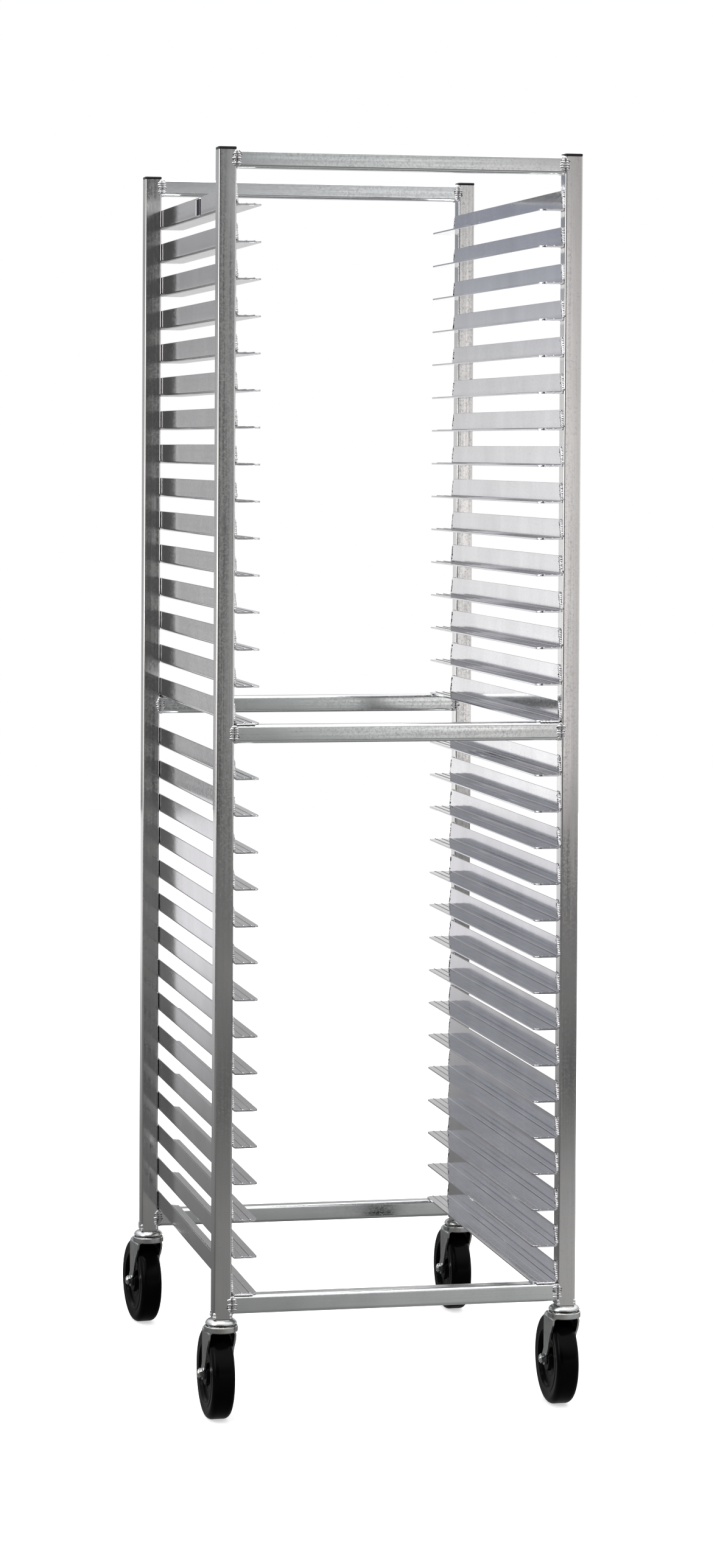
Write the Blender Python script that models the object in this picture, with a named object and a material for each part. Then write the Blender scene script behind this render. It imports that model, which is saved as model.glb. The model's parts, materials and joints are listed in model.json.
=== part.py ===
"""Mobile sheet pan rack: four tube posts, six cross rails, sixty angle runners and four casters.

Run it with: blender --background --python part.py
Metres, +Z up, +X to the rack's right, the pans slide in along +Y.
The origin is on the floor, under the middle of the whole rack's box.
"""
import math

import bmesh
import bpy
from mathutils import Matrix, Vector

# ---- overall sizes ----
RACK_WIDTH = 0.5144          # over the posts, across the pans
RACK_DEPTH = 0.6604          # over the posts, along the pans
RUNNER_PITCH = 0.0508        # from one runner to the next
RUNNERS_PER_GROUP = 15       # one group below the middle rails, one above

# ---- square tube of the posts and rails ----
TUBE = 0.0254
TUBE_WALL = 0.0016
TUBE_CORNER = 0.0024
CORNER_STEPS = 3
RAIL_RAISE = 0.0070          # bottom rails above the posts' lower ends

# ---- angle runners ----
RUNNER_RISE = 0.0286         # upright leg, welded to the posts
RUNNER_LEDGE = 0.0360        # flat leg, carries the pan
RUNNER_WALL = 0.0019
RUNNER_SETBACK = 0.0015      # runner's ends behind the posts' faces
LEG_SLANT = 0.0100           # the upright leg's top corners are cut back
LEDGE_CORNER = 0.0050
LEDGE_CORNER_STEPS = 3
RUNNERS_PER_BANK = 5
SEAM_WIDTH = 0.0030          # weld run that ties a bank's runners together
SEAM_THICKNESS = 0.0012
SEAM_INSET = 0.0025          # from the runner's end

# ---- post caps ----
CAP_THICKNESS = 0.0036
CAP_EDGE = 0.0008
CAP_PLUG_DEPTH = 0.0120

# ---- name plate ----
PLATE_LENGTH = 0.0300
PLATE_MARGIN = 0.0013        # runner's upright left bare above and below the plate
PLATE_THICKNESS = 0.0008
PLATE_CORNER = 0.0015
PLATE_FROM_REAR = 0.533      # share of the way from the rear post to the front post

# ---- casters ----
WHEEL_RADIUS = 0.0635
WHEEL_WIDTH = 0.0320
WHEEL_SHOULDER = 0.0080
WHEEL_RIM = 0.0140           # height of the band between tread and web
WEB_DEPTH = 0.0050           # web's recess in each side
HUB_RADIUS = 0.0165
CASTER_TRAIL = 0.0350        # axle behind the swivel axis
AXLE_DIAMETER = 0.0080
BUSHING_WALL = 0.0028
AXLE_HEX = 0.0127            # across the flats of the nut and the bolt head
AXLE_HEAD = 0.0053
NUT_HEIGHT = 0.0056
THREAD_PAST_NUT = 0.0008
FORK_PLATE = 0.0025
FORK_SIDE_ROOM = 0.0010      # between the wheel's sides and the fork's legs
WHEEL_TOP_ROOM = 0.0025      # between the wheel's top and the crown
FORK_BOSS = 0.0090
CROWN_MARGIN = 0.0038        # crown's edge outside the fork's legs
CROWN_PLATE = 0.0028
CROWN_RIM = 0.0024           # wall of the raised rim round the balls
CROWN_DEPTH = 0.0175         # crown's underside below the posts' lower ends
CROWN_HEIGHT = 0.0080
DOME_INSET = 0.0014          # dome's edge inside the crown's
DOME_HEIGHT = 0.0065
DOME_SEAT_INSET = 0.00065    # flat seat's edge inside the post's faces
STEM_DIAMETER = 0.0127
STEM_LENGTH = 0.0220
KINGPIN_RADIUS = 0.0055
KINGPIN_HEAD = 0.0085
KINGPIN_HEAD_HEIGHT = 0.0030
BALL_SIDE_ROOM = 0.00125     # between the ring of balls and the crown's rim
SOCKET_LENGTH = 0.0260

# How far each caster is turned at rest, anticlockwise seen from above.
REST_TURN_DEG = {"front_left": 1.5, "front_right": 1.0, "rear_left": 6.0, "rear_right": 1.0}

# ---- clearances ----
GAP = 0.0003                 # between pieces that touch
BORE_ROOM = 0.0004           # round the axle, bushing and stem
PIN_ROOM = 0.0006            # round the kingpin
OVERLAP = 0.0002             # keeps joined shapes from sharing a face

ROUND_STEPS = 18             # a multiple of six, for the hexagons
WHEEL_STEPS = 30
SHOULDER_STEPS = 3
RING_STEPS = 6
CURVE_STEPS = 5
SHARP_ANGLE = math.radians(35)

# ---- places worked out from the sizes ----
AXLE_DROP = CROWN_DEPTH + WHEEL_TOP_ROOM + WHEEL_RADIUS  # axle below the posts' lower ends
POST_FOOT = WHEEL_RADIUS + AXLE_DROP
POST_X = (RACK_WIDTH - TUBE) / 2
FRAME_Y = -CASTER_TRAIL                                  # the posts' middle: the wheels trail behind it
POST_Y = {"front": FRAME_Y - (RACK_DEPTH - TUBE) / 2, "rear": FRAME_Y + (RACK_DEPTH - TUBE) / 2}
SIDE = {"left": -1, "right": 1}

BOTTOM_RAIL = POST_FOOT + RAIL_RAISE
LOWER_RUNNERS = BOTTOM_RAIL + TUBE + GAP
UPPER_RUNNERS = LOWER_RUNNERS + RUNNERS_PER_GROUP * RUNNER_PITCH + TUBE
MIDDLE_RAIL = UPPER_RUNNERS - GAP - TUBE
TOP_RAIL = UPPER_RUNNERS + RUNNERS_PER_GROUP * RUNNER_PITCH
POST_TOP = TOP_RAIL + TUBE

RUNNER_X = RACK_WIDTH / 2 - TUBE - GAP                   # outer face of the upright legs
RUNNER_LENGTH = RACK_DEPTH - 2 * RUNNER_SETBACK
FORK_HALF = WHEEL_WIDTH / 2 + FORK_SIDE_ROOM             # inner face of each fork leg
BUSHING_RADIUS = AXLE_DIAMETER / 2 + BORE_ROOM + BUSHING_WALL
CROWN_RADIUS = FORK_HALF + FORK_PLATE + CROWN_MARGIN
DOME_RADIUS = CROWN_RADIUS - DOME_INSET
BALL_TOP = -GAP - DOME_HEIGHT - GAP                      # below the posts' lower ends, like BALL_BOTTOM
BALL_BOTTOM = -CROWN_DEPTH + CROWN_PLATE + GAP
BALL_RADIUS = (BALL_TOP - BALL_BOTTOM) / 2
BALL_CIRCLE = CROWN_RADIUS - CROWN_RIM - BALL_SIDE_ROOM - BALL_RADIUS
PLATE_HEIGHT = RUNNER_RISE - 2 * PLATE_MARGIN


# ---- scene and materials ----
def clear_scene():
    for obj in list(bpy.data.objects):
        bpy.data.objects.remove(obj, do_unlink=True)


def make_material(name, colour, roughness, metallic):
    material = bpy.data.materials.new(name)
    material.use_nodes = True
    shader = material.node_tree.nodes["Principled BSDF"]
    shader.inputs["Base Color"].default_value = (*colour, 1.0)
    shader.inputs["Roughness"].default_value = roughness
    shader.inputs["Metallic"].default_value = metallic
    return material


# ---- shape tools ----
def circle(radius, z, steps=ROUND_STEPS):
    turn = 2 * math.pi / steps
    return [Vector((radius * math.cos(i * turn), radius * math.sin(i * turn), z)) for i in range(steps)]


def hexagon(across_flats, z, steps=ROUND_STEPS):
    """A hexagon with as many points as a circle of the same steps, flats facing +Y and -Y."""
    ring = []
    for point in circle(1.0, z, steps):
        angle = math.atan2(point.y, point.x)
        off_corner = (angle + math.pi / 6) % (math.pi / 3) - math.pi / 6
        radius = across_flats / 2 / math.cos(math.pi / 6 - abs(off_corner))
        ring.append(Vector((radius * point.x, radius * point.y, z)))
    return ring


def rounded_rectangle(width, height, corner, z, steps=CORNER_STEPS):
    ring = []
    for quarter, (sx, sy) in enumerate(((1, 1), (-1, 1), (-1, -1), (1, -1))):
        for step in range(steps + 1):
            angle = math.pi / 2 * (quarter + step / steps)
            x = sx * (width / 2 - corner) + corner * math.cos(angle)
            y = sy * (height / 2 - corner) + corner * math.sin(angle)
            ring.append(Vector((x, y, z)))
    return ring


def loft(rings, closed=False):
    """A closed mesh through rings of equal point counts: capped at both ends, or joined end to start."""
    bm = bmesh.new()
    rows = [[bm.verts.new(point) for point in ring] for ring in rings]
    pairs = list(zip(rows, rows[1:]))
    if closed:
        pairs.append((rows[-1], rows[0]))
    for lower, upper in pairs:
        for i in range(len(lower)):
            j = (i + 1) % len(lower)
            bm.faces.new((lower[i], lower[j], upper[j], upper[i]))
    if not closed:
        bm.faces.new(rows[0])
        bm.faces.new(rows[-1])
    return finish_mesh(bm)


def prism(outline, start, end):
    """An outline in Y and Z, extruded along X from start to end."""
    return loft([[Vector((x, y, z)) for y, z in outline] for x in (start, end)])


def finish_mesh(bm):
    bmesh.ops.recalc_face_normals(bm, faces=bm.faces)
    mesh = bpy.data.meshes.new("shape")
    bm.to_mesh(mesh)
    bm.free()
    return mesh


def box_mesh(low, high):
    corners = [(low[1], low[2]), (high[1], low[2]), (high[1], high[2]), (low[1], high[2])]
    return prism(corners, low[0], high[0])


def combine(base, tools, operation):
    """The mesh of base after an exact Boolean with each tool mesh in turn."""
    target = bpy.data.objects.new("target", base)
    bpy.context.collection.objects.link(target)
    helpers = []
    for tool in tools:
        helper = bpy.data.objects.new("helper", tool)
        bpy.context.collection.objects.link(helper)
        helpers.append(helper)
        modifier = target.modifiers.new("boolean", "BOOLEAN")
        modifier.operation = operation
        modifier.solver = "EXACT"
        modifier.object = helper
    depsgraph = bpy.context.evaluated_depsgraph_get()
    result = bpy.data.meshes.new_from_object(target.evaluated_get(depsgraph))
    for obj in [target, *helpers]:
        bpy.data.objects.remove(obj, do_unlink=True)
    return result


def mirrored(mesh):
    copy = mesh.copy()
    copy.transform(Matrix.Scale(-1, 4, Vector((1, 0, 0))))
    copy.flip_normals()
    return copy


def add_piece(name, mesh, material, location=(0, 0, 0), parent=None):
    mesh.shade_smooth()
    mesh.set_sharp_from_angle(angle=SHARP_ANGLE)
    obj = bpy.data.objects.new(name, mesh)
    obj.location = location
    obj.parent = parent
    obj.data.materials.clear()
    obj.data.materials.append(material)
    bpy.context.collection.objects.link(obj)
    return obj


# ---- frame ----
def square_tube(length):
    bore = TUBE - 2 * TUBE_WALL
    bore_corner = max(TUBE_CORNER - TUBE_WALL, TUBE_WALL / 4)
    outer = [rounded_rectangle(TUBE, TUBE, TUBE_CORNER, z) for z in (0, length)]
    inner = [rounded_rectangle(bore, bore, bore_corner, z) for z in (length, 0)]
    return loft(outer + inner, closed=True)


def add_posts(material):
    mesh = square_tube(POST_TOP - POST_FOOT)
    for end, y in POST_Y.items():
        for side, sign in SIDE.items():
            add_piece(f"post_{end}_{side}", mesh, material, (sign * POST_X, y, POST_FOOT))


def add_rails(material):
    """Rails run along X, from post to post, at three heights on both ends."""
    length = RACK_WIDTH - 2 * TUBE - 2 * GAP
    mesh = square_tube(length)
    mesh.transform(Matrix.Rotation(math.pi / 2, 4, "Y"))
    for level, bottom in {"bottom": BOTTOM_RAIL, "middle": MIDDLE_RAIL, "top": TOP_RAIL}.items():
        for end, y in POST_Y.items():
            add_piece(f"rail_{level}_{end}", mesh, material, (-length / 2, y, bottom + TUBE / 2))


def add_caps(material):
    bore = TUBE - 2 * TUBE_WALL - 2 * GAP
    top = TUBE - 2 * CAP_EDGE
    rings = [
        rounded_rectangle(bore, bore, TUBE_WALL / 2, -CAP_PLUG_DEPTH),
        rounded_rectangle(bore, bore, TUBE_WALL / 2, GAP),
        rounded_rectangle(TUBE, TUBE, TUBE_CORNER, GAP),
        rounded_rectangle(TUBE, TUBE, TUBE_CORNER, CAP_THICKNESS - CAP_EDGE),
        rounded_rectangle(top, top, TUBE_CORNER - CAP_EDGE / 2, CAP_THICKNESS),
    ]
    mesh = loft(rings)
    for end, y in POST_Y.items():
        for side, sign in SIDE.items():
            add_piece(f"post_cap_{end}_{side}", mesh, material, (sign * POST_X, y, POST_TOP))


def add_sockets(material):
    """Square blocks in the posts' lower ends that hold the caster stems."""
    size = TUBE - 2 * TUBE_WALL - 2 * GAP
    bore = STEM_DIAMETER / 2 + BORE_ROOM
    steps = 4 * (CORNER_STEPS + 1)
    outer = [rounded_rectangle(size, size, TUBE_WALL / 2, z) for z in (0, SOCKET_LENGTH)]
    inner = [square_order_circle(bore, z, steps) for z in (SOCKET_LENGTH, 0)]
    mesh = loft(outer + inner, closed=True)
    for end, y in POST_Y.items():
        for side, sign in SIDE.items():
            add_piece(f"stem_socket_{end}_{side}", mesh, material, (sign * POST_X, y, POST_FOOT))


def square_order_circle(radius, z, steps):
    """A circle whose points face those of a rounded rectangle with the same number of points."""
    return [Vector((radius * math.cos(a), radius * math.sin(a), z))
            for a in (2 * math.pi * (i + 0.5) / steps for i in range(steps))]


# ---- runners ----
def add_runner_faces(bm, bottom):
    """One angle: upright leg on X = 0, ledge towards +X, from Y = 0 to its length."""
    ledge_top = bottom + RUNNER_WALL
    leg_top = bottom + RUNNER_RISE

    def end_points(y, inward):
        """Leg points, then the rounded ledge corner below and above, at one end."""
        leg = [(0, y, bottom), (0, y, ledge_top), (0, y + inward * LEG_SLANT, leg_top),
               (RUNNER_WALL, y + inward * LEG_SLANT, leg_top), (RUNNER_WALL, y, ledge_top)]
        plan = []
        for step in range(LEDGE_CORNER_STEPS + 1):
            angle = math.pi / 2 * step / LEDGE_CORNER_STEPS
            x = RUNNER_LEDGE - LEDGE_CORNER * (1 - math.sin(angle))
            plan.append((x, y + inward * LEDGE_CORNER * (1 - math.cos(angle))))
        under = [bm.verts.new((x, py, bottom)) for x, py in plan]
        above = [bm.verts.new((x, py, ledge_top)) for x, py in plan]
        return [bm.verts.new(point) for point in leg], under, above

    front = end_points(0, 1)
    rear = end_points(RUNNER_LENGTH, -1)
    for leg, under, above in (front, rear):
        bm.faces.new((leg[0], leg[1], leg[4], above[0], under[0]))
        bm.faces.new((leg[1], leg[2], leg[3], leg[4]))
        for i in range(LEDGE_CORNER_STEPS):
            bm.faces.new((under[i], above[i], above[i + 1], under[i + 1]))
    (leg_a, under_a, above_a), (leg_b, under_b, above_b) = front, rear
    bm.faces.new((leg_a[0], leg_a[1], leg_a[2], leg_b[2], leg_b[1], leg_b[0]))
    bm.faces.new((leg_a[2], leg_a[3], leg_b[3], leg_b[2]))
    bm.faces.new((leg_a[3], leg_a[4], leg_b[4], leg_b[3]))
    bm.faces.new([leg_a[4], *above_a, *reversed(above_b), leg_b[4]])
    bm.faces.new([leg_a[0], *under_a, *reversed(under_b), leg_b[0]])
    bm.faces.new((under_a[-1], above_a[-1], above_b[-1], under_b[-1]))


def runner_bank():
    """Five runners, tied by a weld run at each end, as they sit on a left pair of posts."""
    bm = bmesh.new()
    for i in range(RUNNERS_PER_BANK):
        add_runner_faces(bm, i * RUNNER_PITCH)
    runners = finish_mesh(bm)
    top = (RUNNERS_PER_BANK - 1) * RUNNER_PITCH + RUNNER_RISE / 2
    seams = []
    for y in (SEAM_INSET, RUNNER_LENGTH - SEAM_INSET - SEAM_WIDTH):
        seams.append(box_mesh((OVERLAP, y, OVERLAP), (SEAM_THICKNESS, y + SEAM_WIDTH, top)))
    return combine(runners, seams, "UNION")


def add_runners(material):
    left = runner_bank()
    meshes = {"left": left, "right": mirrored(left)}
    front_end = FRAME_Y - RUNNER_LENGTH / 2
    for side, sign in SIDE.items():
        number = 1
        for start in (LOWER_RUNNERS, UPPER_RUNNERS):
            for first in range(0, RUNNERS_PER_GROUP, RUNNERS_PER_BANK):
                name = f"runners_{side}_{number:02d}_to_{number + RUNNERS_PER_BANK - 1:02d}"
                place = (sign * RUNNER_X, front_end, start + first * RUNNER_PITCH)
                add_piece(name, meshes[side], material, place)
                number += RUNNERS_PER_BANK


def add_name_plate(material):
    """A blank plate on the outer face of the top left runner."""
    rings = [rounded_rectangle(PLATE_HEIGHT, PLATE_LENGTH, PLATE_CORNER, z) for z in (0, PLATE_THICKNESS)]
    mesh = loft(rings)
    mesh.transform(Matrix.Rotation(-math.pi / 2, 4, "Y"))
    clear_length = RACK_DEPTH - 2 * TUBE
    y = FRAME_Y + clear_length * (0.5 - PLATE_FROM_REAR)
    top_runner = UPPER_RUNNERS + (RUNNERS_PER_GROUP - 1) * RUNNER_PITCH
    add_piece("name_plate", mesh, material, (-RUNNER_X - GAP, y, top_runner + RUNNER_RISE / 2))


# ---- casters ----
# A caster's own frame has its origin on the swivel axis, level with the post's lower end.
# Its axle runs along X and its wheel trails towards +Y.
def stem_mesh():
    """Stem, dome and kingpin, turned in one piece."""
    dome_top, dome_foot = -GAP, -GAP - DOME_HEIGHT
    stem = STEM_DIAMETER / 2
    seat = TUBE / 2 - DOME_SEAT_INSET
    head_top = -CROWN_DEPTH - GAP
    profile = [
        (stem * 0.8, STEM_LENGTH), (stem, STEM_LENGTH - stem * 0.2), (stem, dome_top),
        (seat, dome_top), (DOME_RADIUS * 0.85, dome_top - DOME_HEIGHT * 0.22),
        (DOME_RADIUS * 0.97, dome_top - DOME_HEIGHT * 0.55), (DOME_RADIUS, dome_foot + DOME_HEIGHT * 0.15),
        (DOME_RADIUS, dome_foot), (KINGPIN_RADIUS, dome_foot), (KINGPIN_RADIUS, head_top),
        (KINGPIN_HEAD, head_top), (KINGPIN_HEAD, head_top - KINGPIN_HEAD_HEIGHT / 2),
        (KINGPIN_HEAD * 0.7, head_top - KINGPIN_HEAD_HEIGHT),
    ]
    return loft([circle(radius, z) for radius, z in profile])


def ball_ring_mesh():
    """The swivel's ring of balls, as one ring that fills the room between dome and crown."""
    middle = (BALL_TOP + BALL_BOTTOM) / 2
    rings = []
    for step in range(RING_STEPS):
        angle = 2 * math.pi * step / RING_STEPS
        radius = BALL_CIRCLE + BALL_RADIUS * math.cos(angle)
        rings.append(circle(radius, middle + BALL_RADIUS * math.sin(angle)))
    return loft(rings, closed=True)


def arc(centre, radius, start_deg, end_deg):
    points = []
    for step in range(CURVE_STEPS + 1):
        angle = math.radians(start_deg + (end_deg - start_deg) * step / CURVE_STEPS)
        points.append((centre[0] + radius * math.cos(angle), centre[1] + radius * math.sin(angle)))
    return points


def curve(start, pull, end):
    """Points between start and end on the curve that leans towards pull."""
    points = []
    for step in range(1, CURVE_STEPS):
        t = step / CURVE_STEPS
        a, b, c = (1 - t) ** 2, 2 * t * (1 - t), t ** 2
        points.append((a * start[0] + b * pull[0] + c * end[0], a * start[1] + b * pull[1] + c * end[1]))
    return points


def fork_leg_outline():
    """One leg in Y and Z: wide under the crown, a round boss at the axle."""
    top = -CROWN_DEPTH + CROWN_PLATE - OVERLAP
    boss = arc((CASTER_TRAIL, -AXLE_DROP), FORK_BOSS, 10, -190)
    front = (-CROWN_RADIUS * 0.52, -CROWN_DEPTH - CROWN_PLATE)
    rear = (CROWN_RADIUS, -CROWN_DEPTH - CROWN_PLATE)
    rear_pull = (CASTER_TRAIL * 0.95, -AXLE_DROP * 0.55)
    front_pull = (CASTER_TRAIL * 0.20, -AXLE_DROP * 0.62)
    outline = [(front[0], top), (CROWN_RADIUS * 0.9, top), rear]
    outline += curve(rear, rear_pull, boss[0]) + boss + curve(boss[-1], front_pull, front)
    return outline + [front]


def fork_mesh():
    """Crown with its raised rim, and two legs with the axle hole."""
    under, top = -CROWN_DEPTH, -CROWN_DEPTH + CROWN_HEIGHT
    floor = under + CROWN_PLATE
    bore = KINGPIN_RADIUS + PIN_ROOM
    profile = [(bore, under), (CROWN_RADIUS, under), (CROWN_RADIUS, top),
               (CROWN_RADIUS - CROWN_RIM, top), (CROWN_RADIUS - CROWN_RIM, floor), (bore, floor)]
    crown = loft([circle(radius, z) for radius, z in profile], closed=True)
    outline = fork_leg_outline()
    legs = [prism(outline, sign * FORK_HALF, sign * (FORK_HALF + FORK_PLATE)) for sign in (-1, 1)]
    body = combine(crown, legs, "UNION")
    reach = FORK_HALF + FORK_PLATE + BORE_ROOM
    hole = along_axle(loft([circle(AXLE_DIAMETER / 2 + BORE_ROOM, z) for z in (-reach, reach)]))
    return combine(body, [hole], "DIFFERENCE")


def along_axle(mesh):
    """Turns a mesh made round Z onto the axle, +Z to +X."""
    mesh.transform(Matrix.Rotation(math.pi / 2, 4, "Y"))
    mesh.transform(Matrix.Translation((0, CASTER_TRAIL, -AXLE_DROP)))
    return mesh


def wheel_mesh():
    """Round-shouldered solid wheel with a recessed web, made round Z."""
    half = WHEEL_WIDTH / 2
    bore = BUSHING_RADIUS + BORE_ROOM
    rim_foot = WHEEL_RADIUS - WHEEL_SHOULDER - WHEEL_RIM
    web = half - WEB_DEPTH
    shoulder = [(WHEEL_RADIUS - WHEEL_SHOULDER * (1 - math.sin(a)), half - WHEEL_SHOULDER * (1 - math.cos(a)))
                for a in (math.pi / 2 * step / SHOULDER_STEPS for step in range(SHOULDER_STEPS + 1))]
    side = [(bore, half), (HUB_RADIUS, half), (HUB_RADIUS + WEB_DEPTH / 2, web),
            (rim_foot - WEB_DEPTH / 2, web), (rim_foot, half)] + shoulder
    profile = side + [(radius, -z) for radius, z in reversed(side)]
    return loft([circle(radius, z, WHEEL_STEPS) for radius, z in profile], closed=True)


def bushing_mesh():
    half = FORK_HALF - GAP
    inner = AXLE_DIAMETER / 2 + BORE_ROOM
    profile = [(inner, -half), (BUSHING_RADIUS, -half), (BUSHING_RADIUS, half), (inner, half)]
    return loft([circle(radius, z) for radius, z in profile], closed=True)


def axle_bolt_mesh():
    """Hex head against the right leg, thread through the left one."""
    face = FORK_HALF + FORK_PLATE + GAP
    shank = AXLE_DIAMETER / 2
    end = -(face + NUT_HEIGHT + THREAD_PAST_NUT)
    rings = [circle(shank * 0.85, end), circle(shank, end + shank * 0.15), circle(shank, face),
             hexagon(AXLE_HEX, face), hexagon(AXLE_HEX, face + AXLE_HEAD)]
    return loft(rings)


def axle_nut_mesh():
    outer_face = -(FORK_HALF + FORK_PLATE + GAP)
    outer_end = outer_face - NUT_HEIGHT
    bore = AXLE_DIAMETER / 2 + GAP
    crown = AXLE_HEX * 0.45
    rings = [circle(bore, outer_face), hexagon(AXLE_HEX, outer_face), hexagon(AXLE_HEX, outer_end + GAP * 3),
             circle(crown, outer_end), circle(bore, outer_end)]
    return loft(rings, closed=True)


def add_casters(zinc, tread, steel):
    meshes = {
        "stem": (stem_mesh(), zinc), "ball_ring": (ball_ring_mesh(), steel), "fork": (fork_mesh(), zinc),
        "bushing": (along_axle(bushing_mesh()), steel), "axle_bolt": (along_axle(axle_bolt_mesh()), zinc),
        "axle_nut": (along_axle(axle_nut_mesh()), zinc),
    }
    wheel = wheel_mesh()
    wheel.transform(Matrix.Rotation(math.pi / 2, 4, "Y"))
    for end, y in POST_Y.items():
        for side, sign in SIDE.items():
            corner = f"{end}_{side}"
            swivel = bpy.data.objects.new(f"swivel_axis_{corner}", None)
            swivel.location = (sign * POST_X, y, POST_FOOT)
            swivel.rotation_euler = (0, 0, math.radians(REST_TURN_DEG[corner]))
            bpy.context.collection.objects.link(swivel)
            for piece, (mesh, material) in meshes.items():
                add_piece(f"caster_{corner}_{piece}", mesh, material, parent=swivel)
            hub = (0, CASTER_TRAIL, -AXLE_DROP)
            add_piece(f"caster_{corner}_wheel", wheel, tread, hub, parent=swivel)


def build():
    clear_scene()
    aluminium = make_material("brushed_aluminium", (0.62, 0.62, 0.60), 0.38, 1.0)
    runner_metal = make_material("mill_aluminium", (0.66, 0.65, 0.68), 0.30, 1.0)
    plastic = make_material("black_plastic", (0.012, 0.012, 0.013), 0.45, 0.0)
    zinc = make_material("zinc_plate", (0.70, 0.71, 0.72), 0.25, 1.0)
    steel = make_material("bearing_steel", (0.40, 0.40, 0.41), 0.35, 1.0)
    cast = make_material("socket_aluminium", (0.50, 0.50, 0.50), 0.50, 1.0)
    tread = make_material("black_wheel", (0.008, 0.008, 0.008), 0.18, 0.0)
    plate = make_material("plate_enamel", (0.05, 0.05, 0.055), 0.35, 0.2)
    add_posts(aluminium)
    add_rails(aluminium)
    add_runners(runner_metal)
    add_caps(plastic)
    add_sockets(cast)
    add_name_plate(plate)
    add_casters(zinc, tread, steel)


build()
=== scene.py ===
"""Sheet pan rack: fine surfaces, materials, floor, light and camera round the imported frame."""
import json
import math
import random

import bmesh
import bpy
from mathutils import Matrix, Vector


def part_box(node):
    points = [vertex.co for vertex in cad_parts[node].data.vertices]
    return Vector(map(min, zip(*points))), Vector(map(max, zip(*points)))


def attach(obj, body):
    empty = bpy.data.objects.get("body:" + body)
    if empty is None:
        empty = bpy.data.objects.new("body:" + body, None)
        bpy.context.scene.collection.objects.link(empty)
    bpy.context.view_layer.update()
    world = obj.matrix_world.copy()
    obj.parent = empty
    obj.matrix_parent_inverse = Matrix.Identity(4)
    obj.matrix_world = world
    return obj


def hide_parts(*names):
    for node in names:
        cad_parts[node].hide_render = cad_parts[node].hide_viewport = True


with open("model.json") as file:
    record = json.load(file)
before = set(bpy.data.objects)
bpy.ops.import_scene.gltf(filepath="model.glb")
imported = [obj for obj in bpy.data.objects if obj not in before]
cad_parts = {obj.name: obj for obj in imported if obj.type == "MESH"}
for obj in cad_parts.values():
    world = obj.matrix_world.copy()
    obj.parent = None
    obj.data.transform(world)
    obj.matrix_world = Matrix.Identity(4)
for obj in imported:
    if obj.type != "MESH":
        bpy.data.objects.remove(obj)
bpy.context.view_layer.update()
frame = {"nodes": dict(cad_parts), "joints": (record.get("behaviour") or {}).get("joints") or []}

rng = random.Random(11)

# ---- sizes, in metres ----
TUBE = 0.0254
TUBE_WALL = 0.0016
TUBE_CORNER = 0.0026         # of the posts
RAIL_CORNER = 0.0046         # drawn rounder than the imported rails
TUBE_EDGE = 0.0004           # softening of a tube's end
PITCH = 0.0508
PER_GROUP = 15
PER_BANK = 5
RISE = 0.0286                # height of the runner's upright leg
LEDGE = 0.0360
SHEET = 0.0023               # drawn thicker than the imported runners
FOLD = 0.0042                # outer radius of the runner's fold
SLANT = 0.0100               # the upright leg's top ends are cut back by this
LEDGE_CORNER = 0.0090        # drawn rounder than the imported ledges
SHEET_EDGE = 0.00035
LINE_PLACES = (0.39, 0.70)   # fine raised lines along the ledge, as shares of its width
LINE_HEIGHT = 0.00075
LINE_TOP = 0.0004            # half width of a line's flat top
LINE_BASE = 0.0012           # half width of its base
GAP = 0.0003                 # between seated pieces
TRAIL = 0.0350               # axle behind the swivel's axis
DROP = 0.0835                # axle below the posts' lower ends
WHEEL = 0.0635               # radius
WHEEL_HALF = 0.0160
SHOULDER = 0.0080
FORK_HALF = 0.0170
FORK_PLATE = 0.0025
CROWN = 0.0233
CROWN_DEPTH = 0.0175
CROWN_TOP = 0.0095
DOME = 0.0219
BALL_CIRCLE = 0.0160
BALL = 0.0034
BALLS = 13
HEX = 0.0127                 # across the flats
SIDE = {"left": -1, "right": 1}
SHARP = math.radians(38)


# ---- mesh tools ----
def finish_mesh(bm, sharp=SHARP):
    bmesh.ops.recalc_face_normals(bm, faces=bm.faces)
    mesh = bpy.data.meshes.new("shape")
    bm.to_mesh(mesh)
    bm.free()
    mesh.shade_smooth()
    mesh.set_sharp_from_angle(angle=sharp)
    return mesh


def loft(rings, closed=False, sharp=SHARP):
    """A mesh through rings with equal point counts."""
    bm = bmesh.new()
    rows = [[bm.verts.new(p) for p in ring] for ring in rings]
    pairs = list(zip(rows, rows[1:])) + ([(rows[-1], rows[0])] if closed else [])
    for a, b in pairs:
        for i in range(len(a)):
            j = (i + 1) % len(a)
            bm.faces.new((a[i], a[j], b[j], b[i]))
    if not closed:
        bm.faces.new(rows[0])
        bm.faces.new(rows[-1])
    return finish_mesh(bm, sharp)


def rounded_square(size, corner, z, steps=6):
    ring = []
    for quarter, (sx, sy) in enumerate(((1, 1), (-1, 1), (-1, -1), (1, -1))):
        for step in range(steps + 1):
            a = math.pi / 2 * (quarter + step / steps)
            ring.append(Vector((sx * (size / 2 - corner) + corner * math.cos(a),
                                sy * (size / 2 - corner) + corner * math.sin(a), z)))
    return ring


def circle(radius, z, steps):
    return [Vector((radius * math.cos(t), radius * math.sin(t), z))
            for t in (2 * math.pi * i / steps for i in range(steps))]


def lathe(profile, steps=72, closed=False, sharp=SHARP):
    return loft([circle(r, z, steps) for r, z in profile], closed=closed, sharp=sharp)


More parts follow.
